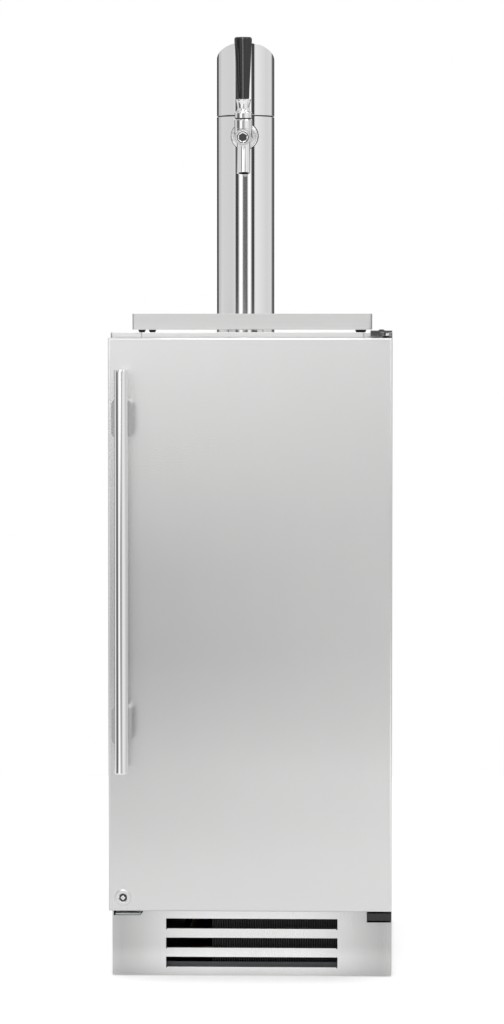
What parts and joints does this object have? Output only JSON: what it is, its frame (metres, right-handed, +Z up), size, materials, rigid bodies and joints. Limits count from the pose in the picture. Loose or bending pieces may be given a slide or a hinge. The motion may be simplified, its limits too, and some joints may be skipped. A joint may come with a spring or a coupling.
{
  "type": "undercounter beverage dispenser",
  "caption": "Narrow stainless undercounter keg dispenser: hinged insulated door with bar handle and lock, slotted toe-kick grille, drip tray, and a round tower with a tap.",
  "frame": {"origin": "on the floor, under the centre of the overall box", "axes": "+Z up, the door and tap face -Y, +X is to the right as seen from the front"},
  "size_m": [0.3778, 0.669, 1.2743],
  "materials": {
    "brushed_stainless": "fine vertical grain, satin",
    "polished_stainless": "polished",
    "chrome_plate": "bright chrome plate",
    "galvanised_steel": "galvanised sheet",
    "dark_steel": "dark plated steel",
    "black_enamel": "black enamel",
    "fin_metal": "thin fins",
    "copper": "drawn copper tube",
    "brass": "machined",
    "black_plastic": "moulded, matt",
    "black_gloss_plastic": "moulded, glossy",
    "foam": "foamed in place",
    "gasket_rubber": "soft extruded",
    "rubber": "moulded"
  },
  "bodies": {
    "cabinet": {"left_side_panel": "brushed_stainless", "right_side_panel": "brushed_stainless", "top_panel": "brushed_stainless", "back_panel": "galvanised_steel", "foam_insulation": "foam", "inner_liner": "brushed_stainless", "top_corner_left": "brushed_stainless", "top_front_rail": "brushed_stainless", "top_corner_right": "brushed_stainless", "base_pan": "galvanised_steel", "leveling_leg_front_left": "dark_steel", "leveling_leg_front_right": "dark_steel", "leveling_leg_rear_left": "dark_steel", "leveling_leg_rear_right": "dark_steel", "toe_kick_grille": "brushed_stainless", "condenser": "fin_metal", "condenser_shroud": "black_plastic", "condenser_fan_motor": "dark_steel", "compressor": "black_enamel", "discharge_line": "copper", "suction_line": "copper", "evaporator_coil": "fin_metal", "evaporator_cover": "brushed_stainless", "evaporator_fan_motor": "dark_steel", "lock_strike": "galvanised_steel", "upper_hinge_bracket": "dark_steel", "lower_hinge_bracket": "black_enamel", "tower_tube": "polished_stainless", "tower_base_ring": "dark_steel", "shank": "brass", "shank_nut": "brass", "shank_flange": "chrome_plate", "coupling_nut": "chrome_plate", "faucet_body": "chrome_plate", "faucet_front_cap": "chrome_plate", "faucet_bonnet": "chrome_plate"},
    "door": {"door_skin": "brushed_stainless", "door_foam": "foam", "door_inner_panel": "brushed_stainless", "door_gasket": "gasket_rubber", "pull_bar": "polished_stainless", "handle_standoff_upper": "polished_stainless", "handle_standoff_lower": "polished_stainless", "lock_housing": "chrome_plate", "upper_hinge_bushing": "black_plastic", "lower_hinge_bushing": "black_plastic"},
    "lock_cylinder": {"lock_plug": "chrome_plate"},
    "tap_arm": {"tap_lever": "chrome_plate", "tap_handle": "black_gloss_plastic"},
    "valve_shaft": {"faucet_shaft": "polished_stainless"},
    "condenser_rotor": {"condenser_fan": "black_plastic"},
    "evaporator_rotor": {"evaporator_fan": "black_plastic"},
    "knob": {"thermostat_knob": "black_plastic"},
    "tray": {"drip_tray": "brushed_stainless", "tray_foot_front_left": "rubber", "tray_foot_front_right": "rubber", "tray_foot_rear_left": "rubber", "tray_foot_rear_right": "rubber"},
    "grille": {"drip_grille": "brushed_stainless"},
    "cap": {"tower_cap": "polished_stainless"}
  },
  "joints": [
    {"name": "door_hinge", "type": "hinge", "parent": "cabinet", "child": "door", "pos_m": [0.1814, -0.26048, 0.48], "axis": [0, 0, 1], "range_deg": [0, 110]},
    {"name": "lock_turn", "type": "hinge", "parent": "door", "child": "lock_cylinder", "pos_m": [-0.1696, -0.26, 0.1153], "axis": [0, 1, 0], "range_deg": [0, 90]},
    {"name": "tap_tilt", "type": "hinge", "parent": "cabinet", "child": "tap_arm", "pos_m": [-0.016, -0.07251, 1.15405], "axis": [1, 0, 0], "range_deg": [0, 30]},
    {"name": "valve_shaft_slide", "type": "slide", "parent": "cabinet", "child": "valve_shaft", "axis": [0, 0.9976, 0.0698], "range_m": [0, 0.0083]},
    {"name": "condenser_fan_spin", "type": "hinge", "parent": "cabinet", "child": "condenser_rotor", "pos_m": [0.049, -0.1162, 0.0465], "axis": [0, 1, 0], "continuous": true},
    {"name": "evaporator_fan_spin", "type": "hinge", "parent": "cabinet", "child": "evaporator_rotor", "pos_m": [0, 0.2414, 0.7393], "axis": [0, 1, 0], "continuous": true},
    {"name": "thermostat_turn", "type": "hinge", "parent": "cabinet", "child": "knob", "pos_m": [0.085, 0.224, 0.7713], "axis": [0, 1, 0], "range_deg": [0, 270]},
    {"name": "drip_tray_lift", "type": "slide", "parent": "cabinet", "child": "tray", "axis": [0, 0, 1], "range_m": [0, 0.06]},
    {"name": "drip_grille_lift", "type": "slide", "parent": "tray", "child": "grille", "axis": [0, 0, 1], "range_m": [0, 0.04]},
    {"name": "tower_cap_lift", "type": "slide", "parent": "cabinet", "child": "cap", "axis": [0, 0, 1], "range_m": [0, 0.05]}
  ],
  "couplings": [
    {"joint": "valve_shaft_slide", "follows": "tap_tilt", "m_per_rad": 0.015756}
  ]
}
